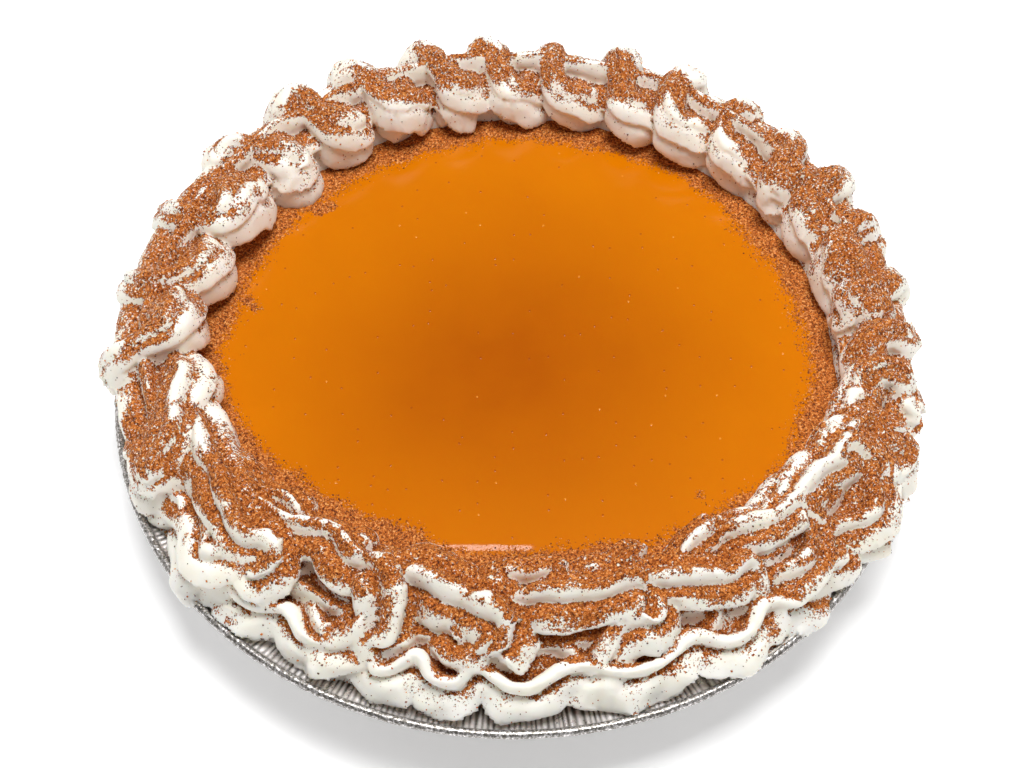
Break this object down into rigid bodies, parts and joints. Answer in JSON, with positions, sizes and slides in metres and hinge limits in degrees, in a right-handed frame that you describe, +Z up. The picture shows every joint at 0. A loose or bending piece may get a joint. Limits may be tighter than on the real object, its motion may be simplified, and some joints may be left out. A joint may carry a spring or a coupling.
{
  "type": "ice cream pie",
  "caption": "Round frozen pie in a shallow foil tin, with a flat glossy filling and a piped border of whipped cream dusted with spice.",
  "frame": {"origin": "middle of the tin's flat underside, which the pie stands on", "axes": "+Z up; the broad side of the cream border faces -Y"},
  "size_m": [0.2498, 0.2484, 0.0598],
  "materials": {
    "foil": "bright pressed foil, crinkled on the flange and wall",
    "filling": "smooth glossy orange filling with tiny bubbles and specks",
    "cream": "soft satin whipped cream"
  },
  "bodies": {
    "root": {"foil_tin": "foil", "filling": "filling", "piped_cream": "cream"}
  },
  "joints": []
}
